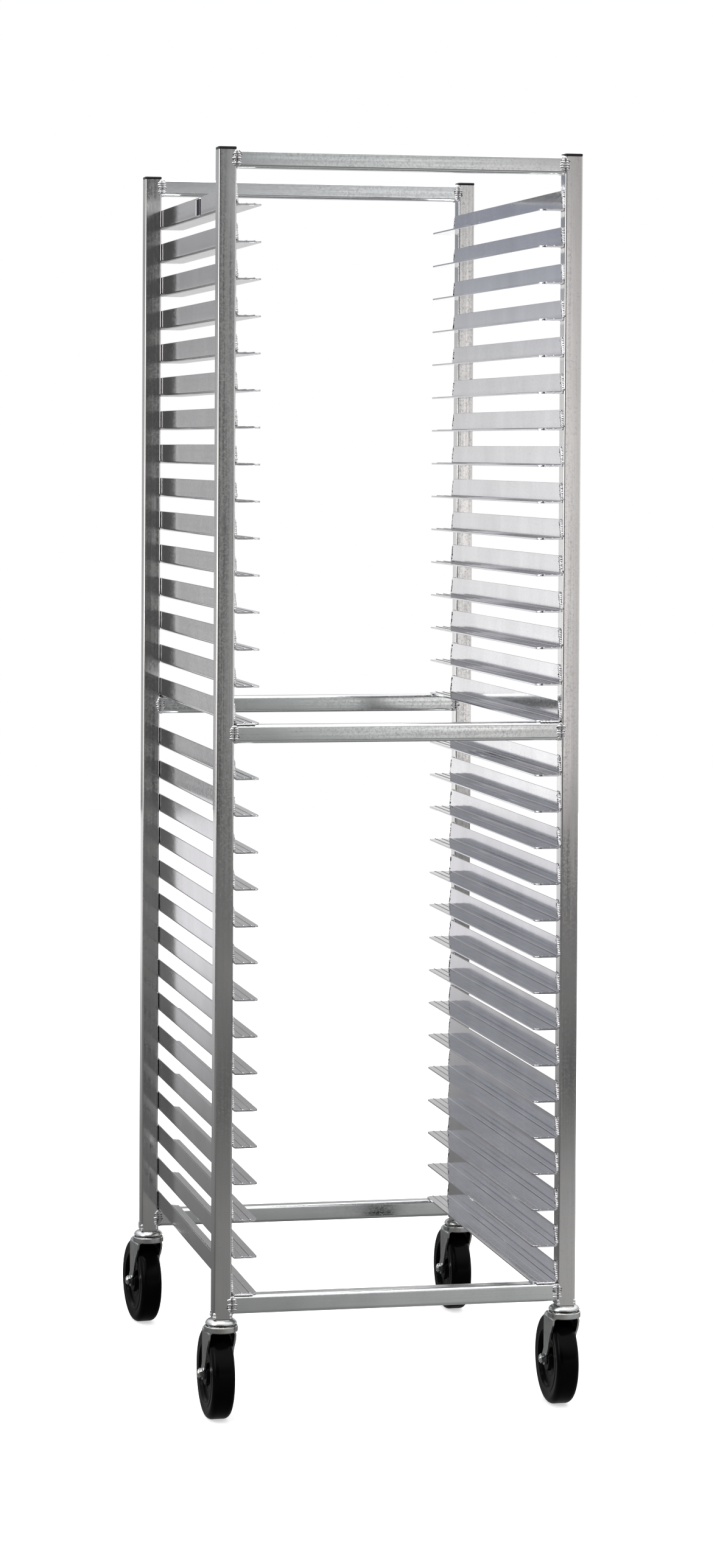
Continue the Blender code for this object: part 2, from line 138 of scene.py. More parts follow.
def hex_ring(flats, limit, z, steps=72):
    """A hexagon whose corners are cut off by a circle of radius limit."""
    ring = []
    for i in range(steps):
        a = 2 * math.pi * i / steps
        off = (a + math.pi / 6) % (math.pi / 3) - math.pi / 6
        r = min(flats / 2 / math.cos(math.pi / 6 - abs(off)), limit)
        ring.append(Vector((r * math.cos(a), r * math.sin(a), z)))
    return ring


def fillet(centre, radius, start, end, steps):
    return [(centre[0] + radius * math.cos(a), centre[1] + radius * math.sin(a))
            for a in (math.radians(start + (end - start) * i / steps) for i in range(steps + 1))]


def joined(meshes):
    bm = bmesh.new()
    for mesh in meshes:
        bm.from_mesh(mesh)
    out = bpy.data.meshes.new("shape")
    bm.to_mesh(out)
    bm.free()
    return out


def moved(mesh, matrix):
    copy = mesh.copy()
    copy.transform(matrix)
    if matrix.determinant() < 0:
        copy.flip_normals()
    return copy


def piece(name, mesh, materials, body, replaces=()):
    obj = bpy.data.objects.new(name, mesh)
    mesh.materials.clear()
    for material in materials:
        mesh.materials.append(material)
    bpy.context.scene.collection.objects.link(obj)
    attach(obj, body)
    if replaces:
        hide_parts(*replaces)
    even = obj.modifiers.new("even_flats", "WEIGHTED_NORMAL")
    even.keep_sharp = True
    return obj


# ---- materials ----
def fill_ramp(ramp, stops):
    """Sets a colour ramp's stops: (place, grey or colour), in rising order."""
    elements = ramp.elements
    for element, (at, value) in zip((elements[0], elements[-1]), (stops[0], stops[-1])):
        element.position = at
    for at, value in stops[1:-1]:
        elements.new(at)
    for at, value in stops:
        nearest = min(elements, key=lambda e: abs(e.position - at))
        nearest.color = (*value, 1.0) if isinstance(value, tuple) else (value, value, value, 1.0)


class Tree:
    """Short calls for building any node tree."""

    def __init__(self, tree):
        self.tree = tree

    def link(self, a, b):
        self.tree.links.new(a, b)

    def ramp(self, value, stops):
        node = self.tree.nodes.new("ShaderNodeValToRGB")
        fill_ramp(node.color_ramp, stops)
        self.link(value, node.inputs["Fac"])
        return node.outputs["Color"]

    def span(self, value, low, high, start=0.3, end=0.7):
        node = self.tree.nodes.new("ShaderNodeMapRange")
        for key, number in (("From Min", start), ("From Max", end), ("To Min", low), ("To Max", high)):
            node.inputs[key].default_value = number
        self.link(value, node.inputs["Value"])
        return node.outputs["Result"]

    def math(self, operation, a, b):
        node = self.tree.nodes.new("ShaderNodeMath")
        node.operation = operation
        for socket, value in zip(node.inputs, (a, b)):
            if isinstance(value, (int, float)):
                socket.default_value = value
            else:
                self.link(value, socket)
        return node.outputs["Value"]

    def mix(self, factor, a, b, blend="MIX"):
        node = self.tree.nodes.new("ShaderNodeMix")
        node.data_type = "RGBA"
        node.blend_type = blend
        for socket, value in ((node.inputs["Factor"], factor), (node.inputs[6], a), (node.inputs[7], b)):
            if isinstance(value, (int, float)):
                socket.default_value = value
            elif isinstance(value, tuple):
                socket.default_value = (*value, 1.0)
            else:
                self.link(value, socket)
        return node.outputs[2]


class Nodes(Tree):
    """A node material round its Principled shader."""

    def __init__(self, name, **values):
        self.material = bpy.data.materials.new(name)
        self.material.use_nodes = True
        super().__init__(self.material.node_tree)
        self.shader = self.tree.nodes["Principled BSDF"]
        for key, value in values.items():
            self.shader.inputs[key.replace("_", " ")].default_value = value
        self.place = self.tree.nodes.new("ShaderNodeTexCoord").outputs["Object"]

    def noise(self, scale, detail=3.0, rough=0.55, distortion=0.0):
        mapping = self.tree.nodes.new("ShaderNodeMapping")
        mapping.inputs["Scale"].default_value = scale
        noise = self.tree.nodes.new("ShaderNodeTexNoise")
        noise.inputs["Scale"].default_value = 1.0
        noise.inputs["Detail"].default_value = detail
        noise.inputs["Roughness"].default_value = rough
        noise.inputs["Distortion"].default_value = distortion
        self.link(self.place, mapping.inputs["Vector"])
        self.link(mapping.outputs["Vector"], noise.inputs["Vector"])
        return noise.outputs["Fac"]

    def bump(self, height, distance):
        node = self.tree.nodes.new("ShaderNodeBump")
        node.inputs["Strength"].default_value = 1.0
        node.inputs["Distance"].default_value = distance
        self.link(height, node.inputs["Height"])
        self.link(node.outputs["Normal"], self.shader.inputs["Normal"])

    def hollow_shade_mask(self, low=0.51, high=0.56):
        """Pointiness mask, used for painted shade in hollows: 0 on flats, 1 on convex edges."""
        geometry = self.tree.nodes.new("ShaderNodeNewGeometry")
        return self.span(geometry.outputs["Pointiness"], 0.0, 1.0, low, high)

    def set(self, socket, value):
        self.link(value, self.shader.inputs[socket])


def along(axis, across, lengthwise):
    """Noise scale with long grain along one axis."""
    return tuple(lengthwise if i == axis else across for i in range(3))


def aluminium(name, axis, dark, light, rough, streak=0.30, uneven=0.05, grain=0.000005, speck=0.3):
    """Extruded aluminium: die lines along its length, faint clouding, small marks."""
    n = Nodes(name, Metallic=1.0)
    lines = n.noise(along(axis, 1400, 9), 4.0, 0.65)
    wide = n.noise(along(axis, 260, 3), 2.0)
    cloud = n.noise((9, 9, 5), 3.0, 0.6, 0.4)
    marks = n.noise((310, 310, 310), 2.0, 0.7, 0.6)
    tone = n.mix(n.span(cloud, 0.0, 1.0), dark, light)
    tone = n.mix(n.span(lines, 0.0, streak, 0.35, 0.75), tone, tuple(c * 0.78 for c in dark))
    tone = n.mix(n.span(marks, 0.0, speck, 0.66, 0.80), tone, tuple(c * 0.55 for c in dark))
    n.set("Base Color", tone)
    r = n.math("ADD", n.span(wide, rough - uneven, rough + uneven), n.span(marks, -0.02, 0.10, 0.45, 0.80))
    n.set("Roughness", r)
    n.bump(n.math("ADD", n.math("MULTIPLY", lines, 0.7), n.math("MULTIPLY", wide, 0.8)), grain)
    return n.material


def weld_metal():
    """Cast-looking beads: bright, silky, with painted shade darkening the hollows."""
    n = Nodes("weld_bead", Metallic=1.0)
    grain = n.noise((900, 900, 900), 3.0, 0.6)
    cloud = n.noise((120, 120, 120), 2.0)
    tone = n.mix(n.span(cloud, 0.0, 1.0), (0.62, 0.61, 0.62), (0.84, 0.83, 0.84))
    # Painted shade: the bead's hollows are darkened.
    tone = n.mix(n.hollow_shade_mask(0.46, 0.51), (0.20, 0.19, 0.19), tone)
    n.set("Base Color", tone)
    n.set("Roughness", n.span(grain, 0.22, 0.42))
    n.bump(grain, 0.00006)
    return n.material


def weld_soot_and_shade():
    """The dark line round a bead: painted shade along its edge, also standing for soot."""
    n = Nodes("weld_soot_and_shade", Metallic=0.8)
    grain = n.noise((700, 700, 700), 3.0, 0.6)
    cloud = n.noise((150, 150, 150), 2.0)
    # Painted shade and soot: near-black along the bead's edge.
    n.set("Base Color", n.mix(n.span(cloud, 0.0, 1.0), (0.06, 0.057, 0.055), (0.17, 0.165, 0.16)))
    n.set("Roughness", n.span(grain, 0.45, 0.62))
    n.bump(grain, 0.00004)
    return n.material


def zinc_plate():
    """Bright zinc: faint blue and straw patches, fine stamping grain, dull spots."""
    n = Nodes("bright_zinc", Metallic=1.0)
    patch = n.noise((60, 60, 60), 3.0, 0.6, 0.8)
    fine = n.noise((1200, 1200, 1200), 3.0, 0.6)
    tone = n.ramp(patch, [(0.30, (0.48, 0.51, 0.54)), (0.50, (0.58, 0.59, 0.58)), (0.72, (0.62, 0.60, 0.55))])
    tone = n.mix(n.span(fine, 0.0, 0.10, 0.55, 0.80), tone, (0.40, 0.41, 0.42))
    n.set("Base Color", tone)
    n.set("Roughness", n.math("ADD", n.span(patch, 0.16, 0.30), n.span(fine, -0.02, 0.05)))
    n.bump(fine, 0.000003)
    return n.material


def black_plastic(name, rough, tint=(0.010, 0.010, 0.011), grain=700, gloss=0.3, dusty=0.18):
    """Moulded plastic: faint clouding, fine grain and specks of dust."""
    n = Nodes(name)
    n.shader.inputs["Specular IOR Level"].default_value = gloss
    cloud = n.noise((40, 40, 40), 3.0, 0.6, 0.5)
    fine = n.noise((grain, grain, grain), 3.0, 0.65)
    dust = n.noise((1700, 1700, 1700), 2.0, 0.8)
    tone = n.mix(n.span(cloud, 0.0, 1.0), tint, tuple(c * 1.9 for c in tint))
    tone = n.mix(n.span(dust, 0.0, dusty, 0.68, 0.80), tone, (0.16, 0.155, 0.15))
    n.set("Base Color", tone)
    n.set("Roughness", n.math("ADD", n.span(cloud, rough - 0.05, rough + 0.08), n.span(fine, -0.02, 0.03)))
    n.bump(fine, 0.000025)
    return n.material


def bearing_steel():
    n = Nodes("bearing_steel_fine", Metallic=1.0)
    grain = n.noise((800, 800, 800), 3.0)
    grease = n.noise((180, 180, 180), 2.0, 0.6, 1.0)
    tone = n.mix(n.span(grease, 0.0, 0.8), (0.42, 0.42, 0.43), (0.12, 0.10, 0.08))
    n.set("Base Color", tone)
    n.set("Roughness", n.span(grain, 0.22, 0.42))
    n.bump(grain, 0.00002)
    return n.material


def cast_aluminium():
    n = Nodes("cast_socket", Metallic=1.0)
    grain = n.noise((500, 500, 500), 4.0, 0.7)
    cloud = n.noise((80, 80, 80), 2.0)
    n.set("Base Color", n.mix(n.span(cloud, 0.0, 1.0), (0.40, 0.40, 0.41), (0.56, 0.56, 0.57)))
    n.set("Roughness", n.span(grain, 0.42, 0.62))
    n.bump(grain, 0.0002)
    return n.material


def plate_enamel():
    n = Nodes("plate_enamel_fine")
    n.shader.inputs["Specular IOR Level"].default_value = 0.04
    cloud = n.noise((90, 90, 90), 3.0)
    fine = n.noise((1100, 1100, 1100), 3.0)
    n.set("Base Color", n.mix(n.span(cloud, 0.0, 1.0), (0.016, 0.016, 0.022), (0.030, 0.030, 0.040)))
    n.set("Roughness", n.span(fine, 0.50, 0.65))
    n.bump(fine, 0.00002)
    return n.material


POST_ALU = aluminium("drawn_aluminium_upright", 2, (0.60, 0.595, 0.59), (0.72, 0.71, 0.70), 0.11)
RAIL_ALU = aluminium("drawn_aluminium_cross", 0, (0.73, 0.75, 0.745), (0.85, 0.865, 0.86), 0.14)
# A lighter copy of the rail metal, for the rear top rail alone: painted light.
LIT_REAR_RAIL_ALU = aluminium("drawn_aluminium_top_rear_lit_copy", 0, (0.84, 0.855, 0.87), (0.93, 0.94, 0.95), 0.16)
RUNNER_ALU = aluminium("mill_aluminium_runner", 1, (0.66, 0.655, 0.675), (0.78, 0.775, 0.795), 0.11,
                       streak=0.05, uneven=0.010, grain=0.000001)
WELD = weld_metal()
# Dark strips round the beads: painted shade and soot.
SOOT_AND_SHADE = weld_soot_and_shade()
ZINC = zinc_plate()
STEEL = bearing_steel()
SOCKET = cast_aluminium()
CAP = black_plastic("cap_plastic_fine", 0.42)
TREAD = black_plastic("wheel_plastic_fine", 0.16, tint=(0.0012, 0.0011, 0.0011), grain=240, gloss=0.05,
                      dusty=0.05)
ENAMEL = plate_enamel()


# ---- where the frame's pieces are ----
def middle(node):
    low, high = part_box(node)
    return (low + high) / 2, low, high


POST = {(end, side): middle(f"post_{end}_{side}") for end in ("front", "rear") for side in SIDE}
RAILS = {(level, end): middle(f"rail_{level}_{end}")
         for level in ("bottom", "middle", "top") for end in ("front", "rear")}
FOOT = POST["front", "left"][1].z
POST_X = POST["front", "right"][0].x
BANK_LOW, BANK_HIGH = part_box("runners_left_01_to_05")
RUNNER_X = abs(BANK_LOW.x)
RUNNER_FRONT, RUNNER_REAR = BANK_LOW.y, BANK_HIGH.y
RUNNER_LENGTH = RUNNER_REAR - RUNNER_FRONT
GROUP_STARTS = [BANK_LOW.z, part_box("runners_left_16_to_20")[0].z]


# ---- frame ----
def tube_mesh(length, corner):
    """A rounded square tube along Z with softened end edges and an open bore."""
    bore = TUBE - 2 * TUBE_WALL
    rings = [
        rounded_square(TUBE - 2 * TUBE_EDGE, corner - TUBE_EDGE, 0),
        rounded_square(TUBE, corner, TUBE_EDGE),
        rounded_square(TUBE, corner, length - TUBE_EDGE),
        rounded_square(TUBE - 2 * TUBE_EDGE, corner - TUBE_EDGE, length),
        rounded_square(bore, corner - TUBE_WALL, length),
        rounded_square(bore, corner - TUBE_WALL, 0),
    ]
    return loft(rings, closed=True)


def build_frame():
    for (end, side), (centre, low, high) in POST.items():
        mesh = moved(tube_mesh(high.z - low.z, TUBE_CORNER), Matrix.Translation((centre.x, centre.y, low.z)))
        piece(f"post_tube_{end}_{side}", mesh, [POST_ALU], "frame", [f"post_{end}_{side}"])
    for (level, end), (centre, low, high) in RAILS.items():
        matrix = Matrix.Translation((low.x, centre.y, centre.z)) @ Matrix.Rotation(math.pi / 2, 4, "Y")
        mesh = moved(tube_mesh(high.x - low.x, RAIL_CORNER), matrix)
        # The rear top rail takes the lighter copy: painted light.
        metal = LIT_REAR_RAIL_ALU if (level, end) == ("top", "rear") else RAIL_ALU
        piece(f"rail_tube_{level}_{end}", mesh, [metal], "frame", [f"rail_{level}_{end}"])


def build_caps():
    for end, side in POST:
        centre, low, high = middle(f"post_cap_{end}_{side}")
        top = POST[end, side][2].z
        rise = high.z - top
        bore = TUBE - 2 * TUBE_WALL - 0.0006
        rings = [rounded_square(bore, 0.0008, low.z), rounded_square(bore, 0.0008, top + 0.0003),
                 rounded_square(TUBE - 0.0004, TUBE_CORNER, top + 0.0003),
                 rounded_square(TUBE, TUBE_CORNER, top + 0.0006)]
        for angle in (0, 22.5, 45, 67.5, 90):
            a = math.radians(angle)
            shrink = 0.0012 * (1 - math.cos(a))
            rings.append(rounded_square(TUBE - 2 * shrink, TUBE_CORNER - shrink * 0.5,
                                        top + rise - 0.0012 * (1 - math.sin(a))))
        rings.append(rounded_square(TUBE - 0.0100, 0.0012, high.z - 0.0001))
        mesh = moved(loft(rings, sharp=math.radians(50)), Matrix.Translation((centre.x, centre.y, 0)))
        piece(f"cap_moulded_{end}_{side}", mesh, [CAP], "frame", [f"post_cap_{end}_{side}"])


# ---- runners ----
def runner_section():
    """Pairs of points, outer and inner, along the angle from the upright's top to the ledge's tip,
    each with how far its end is cut back."""
    pairs = []

    def add(outer, inner, cut):
        pairs.append((outer, inner, cut))

    inner_radius = FOLD - SHEET
    slope = SLANT / (RISE - FOLD)
    add((SHEET_EDGE, RISE), (SHEET - SHEET_EDGE, RISE), SLANT)
    for z in (RISE - SHEET_EDGE, RISE * 0.62, RISE * 0.35, FOLD):
        add((0, z), (SHEET, z), (z - FOLD) * slope)
    for step in range(1, 6):
        a = math.radians(180 + 90 * step / 5)
        add((FOLD + FOLD * math.cos(a), FOLD + FOLD * math.sin(a)),
            (FOLD + inner_radius * math.cos(a), FOLD + inner_radius * math.sin(a)), 0)
    places = []
    for share in LINE_PLACES:
        at = LEDGE * share
        places += [(at - LINE_BASE, 0), (at - LINE_TOP, LINE_HEIGHT),
                   (at + LINE_TOP, LINE_HEIGHT), (at + LINE_BASE, 0)]
    straight = LEDGE - LEDGE_CORNER
    places += [(straight + LEDGE_CORNER * s, 0) for s in (0.05, 0.3, 0.8)]
    places += [(LEDGE - SHEET_EDGE, 0)]
    for x, lift in sorted(places):
        over = max(0.0, x - straight)
        add((x, 0), (x, SHEET + lift), LEDGE_CORNER - math.sqrt(LEDGE_CORNER ** 2 - over ** 2))
    add((LEDGE, SHEET_EDGE), (LEDGE, SHEET - SHEET_EDGE), LEDGE_CORNER)
    return pairs


def runner_mesh():
    """One angle runner: outer face on X = 0, ledge towards +X, from Y = 0 to its length."""
    pairs = runner_section()
    count = len(pairs)
    bm = bmesh.new()
    rows = []
    for inward, rear, shrink in ((0, 0, 0.22), (SHEET_EDGE, 0, 0), (SHEET_EDGE, 1, 0), (0, 1, 0.22)):
        outer_row, inner_row = [], []
        for outer, inner, cut in pairs:
            y = cut + inward if not rear else RUNNER_LENGTH - cut - inward
            o, i = Vector(outer), Vector(inner)
            m = (o + i) / 2
            o, i = o.lerp(m, shrink), i.lerp(m, shrink)
            outer_row.append(bm.verts.new((o.x, y, o.y)))
            inner_row.append(bm.verts.new((i.x, y, i.y)))
        rows.append(outer_row + inner_row[::-1])
    for a, b in zip(rows, rows[1:]):
        for i in range(2 * count):
            j = (i + 1) % (2 * count)
            bm.faces.new((a[i], a[j], b[j], b[i]))
    for row in (rows[0], rows[-1]):
        for i in range(count - 1):
            bm.faces.new((row[i], row[i + 1], row[-2 - i], row[-1 - i]))
    return finish_mesh(bm, math.radians(32))


def build_runners():
    base = runner_mesh()
    number = 1
    for start in GROUP_STARTS:
        for step in range(PER_GROUP):
            first = (number - 1) // PER_BANK * PER_BANK + 1
            for side, sign in SIDE.items():
                place = Matrix.Translation((sign * RUNNER_X, RUNNER_FRONT, start + step * PITCH))
                flip = Matrix.Scale(-sign, 4, Vector((1, 0, 0)))
                bank = f"runners_{side}_{first:02d}_to_{first + PER_BANK - 1:02d}"
                piece(f"runner_{side}_{number:02d}", moved(base, place @ flip), [RUNNER_ALU], "frame",
                      [bank])
            number += 1


# ---- weld beads: half width and height of each kind ----
RUNNER_BEAD = (0.0024, 0.0021)
RAIL_SIDE_BEAD = (0.0058, 0.0024)
# Dark strip round a rail's side bead: painted shade and soot.
RAIL_SIDE_SEAM = (0.0058, 0.0020)
# Dark strip down a side bead's middle: painted shade in its crevice.
RAIL_CREVICE_SHADE = (0.0012, 0.0016)
RAIL_TOP_BEAD = (0.0040, 0.0015)
LEDGE_BEAD = (0.0017, 0.0014)
FOOT_BEAD = (0.0027, 0.0020)
RIPPLE = 0.0034              # pitch of the ripples in the rails' beads


def bead_mesh(points, normal, half_width, height, dip=0.0, pitch=0.0022):
    """A rippled bead along points, lying on a surface with this normal; dip hollows its middle."""
    normal = Vector(normal).normalized()
    points = [Vector(p) for p in points]
    lengths = [0.0]
    for a, b in zip(points, points[1:]):
        lengths.append(lengths[-1] + (b - a).length)
    total = lengths[-1]
    stations = max(8, int(total / pitch * 5))
    scales = [rng.uniform(0.78, 1.20) for _ in range(int(total / pitch) + 3)]
    sway = [rng.uniform(-1, 1) for _ in range(int(total / pitch) + 3)]
    around = 12
    bm = bmesh.new()
    rows = []
    for s in range(stations + 1):
        t = s / stations
        d = t * total
        k = max(i for i in range(len(lengths) - 1) if lengths[i] <= d + 1e-9)
        part = (d - lengths[k]) / max(1e-9, lengths[k + 1] - lengths[k])
        here = points[k].lerp(points[k + 1], min(1.0, part))
        run = (points[k + 1] - points[k]).normalized()
        side = run.cross(normal).normalized()
        ripple, phase = divmod(d / pitch, 1.0)
        size = scales[int(ripple)] * (0.70 + 0.38 * math.sqrt(max(0.0, 1 - (2 * phase - 1) ** 2)))
        end = min(1.0, math.sqrt(max(0.0, min(d, total - d) / (half_width * 1.2))) + 0.12)
        drift = sway[int(ripple)] * half_width * 0.13
        row = []
        for i in range(around):
            a = 2 * math.pi * i / around
            c, n = math.cos(a), math.sin(a)
            lift = n * (1 - dip * math.exp(-(c / 0.42) ** 2)) if n > 0 else n * 0.35
            row.append(bm.verts.new(here + side * (c * half_width * size * end + drift)
                                    + normal * (lift * height * size * end)))
        rows.append(row)
    for a, b in zip(rows, rows[1:]):
        for i in range(around):
            j = (i + 1) % around
            bm.faces.new((a[i], a[j], b[j], b[i]))
    bm.faces.new(rows[0])
    bm.faces.new(rows[-1])
    return finish_mesh(bm, math.radians(80))


def soot_and_shade_strip_mesh(points, normal, half_width, height):
    """The flat dark border under a bead: a strip of painted shade and soot."""
    return bead_mesh(points, normal, half_width + 0.0006, height * 0.35, pitch=0.0030)


def build_runner_welds():
    """A bead along each slanted upright end, against the post."""
    for side, sign in SIDE.items():
        for end, facing in (("front", -1), ("rear", 1)):
            end_y = RUNNER_FRONT if end == "front" else RUNNER_REAR
            beads, seams = [], []
            for start in GROUP_STARTS:
                for step in range(PER_GROUP):
                    z = start + step * PITCH
                    x = sign * (RUNNER_X - 0.0006)
                    low = (x, end_y - facing * 0.0002, z + FOLD * rng.uniform(0.6, 1.0))
                    high = (x, end_y - facing * (SLANT - 0.0004), z + RISE - rng.uniform(0.0, 0.0020))
                    beads.append(bead_mesh([low, high], (-sign, facing, 0), *RUNNER_BEAD, pitch=0.0026))
                    # A dark strip along the bead: painted shade and soot.
                    seams.append(soot_and_shade_strip_mesh([low, high], (-sign, facing, 0), *RUNNER_BEAD))
            piece(f"weld_beads_runners_{side}_{end}", joined(beads), [WELD], "frame")
            piece(f"weld_seams_runners_{side}_{end}", joined(seams), [SOOT_AND_SHADE], "frame")


def build_rail_welds():
    """Beads round each rail's ends, and on the rails under the lowest runner of each group."""
    for (level, end), (centre, low, high) in RAILS.items():
        beads, seams = [], []
        for sign in (-1, 1):
            x = sign * (high.x - 0.0002)
            for ny in (-1, 1):
                y = centre.y + ny * (TUBE / 2 - 0.0004)
                line = [(x, y, low.z + 0.0012), (x, y, high.z - 0.0010)]
                beads.append(bead_mesh(line, (0, ny, 0), *RAIL_SIDE_BEAD, 0.60, RIPPLE))
                # A dark strip along the side bead: painted shade and soot.
                seams.append(soot_and_shade_strip_mesh(line, (0, ny, 0), *RAIL_SIDE_SEAM))
                # A dark strip down the middle of the side bead: painted shade in its crevice.
                crevice_shade = [(x + sign * 0.0010, y, low.z + 0.0030), (x + sign * 0.0006, y, centre.z),
                         (x + sign * 0.0010, y, high.z - 0.0030)]
                seams.append(bead_mesh(crevice_shade, (0, ny, 0), *RAIL_CREVICE_SHADE, pitch=RIPPLE))
            for nz in (-1, 1):
                z = centre.z + nz * (TUBE / 2 - 0.0004)
                line = [(x, low.y + 0.0022, z), (x, high.y - 0.0022, z)]
                beads.append(bead_mesh(line, (0, 0, nz), *RAIL_TOP_BEAD, 0.45, 0.0030))
        piece(f"weld_beads_rail_{level}_{end}", joined(beads), [WELD], "frame")
        piece(f"weld_seams_rail_{level}_{end}", joined(seams), [SOOT_AND_SHADE], "frame")
    for level in ("bottom", "middle"):
        for end, facing in (("front", -1), ("rear", 1)):
            top = RAILS[level, end][2].z
            y = (RUNNER_FRONT if end == "front" else RUNNER_REAR) + facing * 0.0002
            beads = []
            for sign in (-1, 1):
                points = [(sign * (RUNNER_X - 0.003 - 0.027 * t), y, top + 0.0006)
                          for t in (0, 0.33, 0.66, 1)]
                beads.append(bead_mesh(points, (0, facing, 1.2), *LEDGE_BEAD))
            piece(f"weld_beads_ledge_{level}_{end}", joined(beads), [WELD], "frame")


def build_foot_welds():
    beads = []
    for (end, side), (centre, low, high) in POST.items():
        half = TUBE / 2 - 0.0010
        for sx in (-1, 1):
            for sy in (-1, 1):
                corner = Vector((centre.x + sx * half, centre.y + sy * half, low.z + 0.0006))
                tall = rng.uniform(0.0080, 0.0120)
                beads.append(bead_mesh([corner, corner + Vector((0, 0, tall))], (sx, sy, 0), *FOOT_BEAD))
    piece("weld_beads_feet", joined(beads), [WELD], "frame")


# ---- name plate ----
def build_plate():
    low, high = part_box("name_plate")
    centre = (low + high) / 2
    length, tall, thick = high.y - low.y, high.z - low.z, high.x - low.x
    rim = 0.0016

    def ring(inset, depth):
        corner = max(0.0004, 0.0018 - inset)
        points = []
        for quarter, (sy, sz) in enumerate(((1, 1), (-1, 1), (-1, -1), (1, -1))):
            for step in range(6):
                a = math.pi / 2 * (quarter + step / 5)
                points.append(Vector((centre.x + thick / 2 - depth,
                                      centre.y + sy * (length / 2 - inset - corner) + corner * math.cos(a),
                                      centre.z + sz * (tall / 2 - inset - corner) + corner * math.sin(a))))
        return points

    edge = loft([ring(0, 0), ring(0, thick * 0.8), ring(0.0003, thick), ring(rim - 0.0002, thick),
                 ring(rim, thick * 0.6)])
    field = loft([ring(rim - 0.0003, thick * 0.3), ring(rim - 0.0001, thick * 0.62),
                  ring(rim + 0.0006, thick * 0.66)])
    piece("plate_edge", edge, [RUNNER_ALU], "frame", ["name_plate"])
    piece("plate_field", field, [ENAMEL], "frame", ["name_plate"])


# ---- casters ----
# The caster's own frame: origin on the swivel axis at the post's foot, axle along X, wheel towards +Y.
def dome_mesh():
    profile = [(0.0051, 0.0220), (0.00635, 0.0207), (0.00635, -0.0003), (0.0126, -0.0003)]
    profile += [(r, z - 0.0003) for r, z in ((0.0158, -0.0001), (0.0176, -0.0006), (0.0192, -0.0015),
                                             (0.0205, -0.0027), (0.0213, -0.0040), (0.0218, -0.0054))]
    profile += [(DOME, -0.0065), (DOME - 0.0003, -0.0068), (DOME - 0.0014, -0.0068), (0.0196, -0.0060),
                (0.0100, -0.0060), (0.0055, -0.0066), (0.0055, -0.0178), (0.0085, -0.0178),
                (0.0085, -0.0190), (0.0078, -0.0201), (0.0058, -0.0208), (0.0012, -0.0208)]
    return lathe(profile, 96)


def balls_mesh():
    parts = []
    level = -0.01075
    for i in range(BALLS):
        a = 2 * math.pi * i / BALLS
        bm = bmesh.new()
        bmesh.ops.create_uvsphere(bm, u_segments=20, v_segments=12, radius=BALL)
        place = (BALL_CIRCLE * math.cos(a), BALL_CIRCLE * math.sin(a), level)
        bmesh.ops.translate(bm, verts=bm.verts, vec=place)
        parts.append(finish_mesh(bm))
    race = fillet((BALL_CIRCLE, level), 0.0029, 0, 360, 12)[:-1]
    parts.append(lathe([(r if r > BALL_CIRCLE else r + 0.0012, z) for r, z in race], 64, closed=True))
    return joined(parts)


def crown_mesh():
    """The raceway: a rolled rim round the balls, with a floor."""
    top, under = -CROWN_TOP, -CROWN_DEPTH
    profile = [(0.0061, under), (CROWN - 0.0016, under)]
    profile += fillet((CROWN - 0.0012, under + 0.0012), 0.0012, -90, 0, 4)
    profile += fillet((CROWN - 0.0012, top - 0.0012), 0.0012, 0, 150, 8)
    profile += [(CROWN - 0.0024, top - 0.0024), (CROWN - 0.0026, under + 0.0040),
                (CROWN - 0.0040, under + 0.0028), (0.0061, under + 0.0028)]
    return lathe(profile, 96, closed=True)


def smooth_steps(points, steps):
    """Points on a smooth curve through the given ones."""
    out = []
    for i in range(len(points) - 1):
        p = [Vector(points[max(0, min(len(points) - 1, i + k))]) for k in (-1, 0, 1, 2)]
        for s in range(steps):
            t = s / steps
            out.append(0.5 * ((2 * p[1]) + (p[2] - p[0]) * t + (2 * p[0] - 5 * p[1] + 4 * p[2] - p[3]) * t * t
                              + (3 * p[1] - p[0] - 3 * p[2] + p[3]) * t ** 3))
    out.append(Vector(points[-1]))
    return out


def edge_at(curve, z):
    """Y of a curve of (y, z) points, top to bottom, at a height."""
    for a, b in zip(curve, curve[1:]):
        if a.y >= z >= b.y:
            return a.x + (b.x - a.x) * (a.y - z) / max(1e-9, a.y - b.y)
    return curve[-1].x if z < curve[-1].y else curve[0].x


